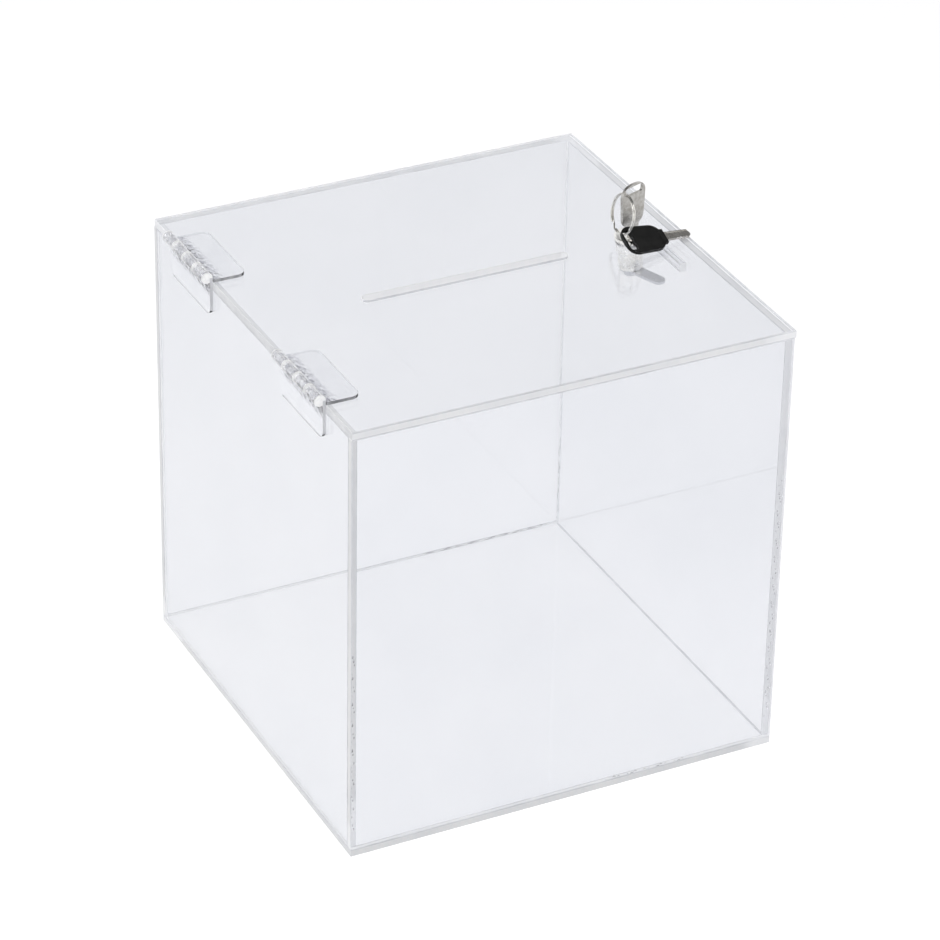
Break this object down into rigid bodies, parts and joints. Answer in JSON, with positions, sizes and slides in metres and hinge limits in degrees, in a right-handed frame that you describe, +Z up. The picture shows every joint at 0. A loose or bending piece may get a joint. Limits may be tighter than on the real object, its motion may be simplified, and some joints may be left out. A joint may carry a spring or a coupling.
{
  "type": "ballot box",
  "caption": "Clear cube-shaped ballot box with a hinged lid, a posting slot across the lid, a cam lock, and a spare key on a ring.",
  "frame": {"origin": "centre of the base's underside, on the surface the box stands on", "axes": "+X from the hinge side to the lock side, +Y from the front to the back, +Z up"},
  "size_m": [0.3085, 0.3, 0.3439],
  "materials": {
    "clear_sheet": "polished clear acrylic",
    "clear_hinge": "moulded clear acrylic",
    "chrome": "polished",
    "plated_steel": "zinc plated",
    "brass": "plain",
    "key_metal": "nickel plated",
    "black_plastic": "fine satin"
  },
  "bodies": {
    "box": {"base_panel": "clear_sheet", "front_wall": "clear_sheet", "back_wall": "clear_sheet", "hinge_side_wall": "clear_sheet", "lock_side_wall": "clear_sheet", "catch_bar": "clear_sheet", "rear_hinge_wall_leaf": "clear_hinge", "rear_hinge_pin": "clear_hinge", "front_hinge_wall_leaf": "clear_hinge", "front_hinge_pin": "clear_hinge"},
    "lid": {"lid_panel": "clear_sheet", "rear_hinge_lid_leaf": "clear_hinge", "front_hinge_lid_leaf": "clear_hinge", "lock_housing": "chrome", "lock_nut": "plated_steel", "nut_washer": "plated_steel"},
    "plug": {"lock_plug": "chrome", "tumbler_wafers": "brass", "tumbler_springs": "plated_steel", "stop_washer": "plated_steel", "lock_cam": "plated_steel", "cam_washer": "plated_steel", "cam_screw": "plated_steel"},
    "key": {"lock_key": "key_metal"},
    "ring": {"key_ring": "key_metal"},
    "spare_key": {"spare_key_blade": "key_metal", "spare_key_head": "black_plastic"}
  },
  "joints": [
    {"name": "lid_hinge", "type": "hinge", "parent": "box", "child": "lid", "pos_m": [-0.15375, 0, 0.30875], "axis": [0, -1, 0], "range_deg": [0, 240]},
    {"name": "lock_turn", "type": "hinge", "parent": "lid", "child": "plug", "pos_m": [0.116, 0, 0.305], "axis": [0, 0, 1], "range_deg": [-20, 70]},
    {"name": "key_slide", "type": "slide", "parent": "plug", "child": "key", "axis": [0, 0, 1], "range_m": [0, 0.022]},
    {"name": "ring_turn", "type": "hinge", "parent": "key", "child": "ring", "pos_m": [0.10765, -0.00304, 0.32526], "axis": [-0.9792, -0.0187, 0.2019], "range_deg": [0, 60]},
    {"name": "spare_key_lift", "type": "hinge", "parent": "ring", "child": "spare_key", "pos_m": [0.10589, -0.01185, 0.31586], "axis": [0.1504, -0.735, 0.6612], "range_deg": [0, 28]}
  ]
}
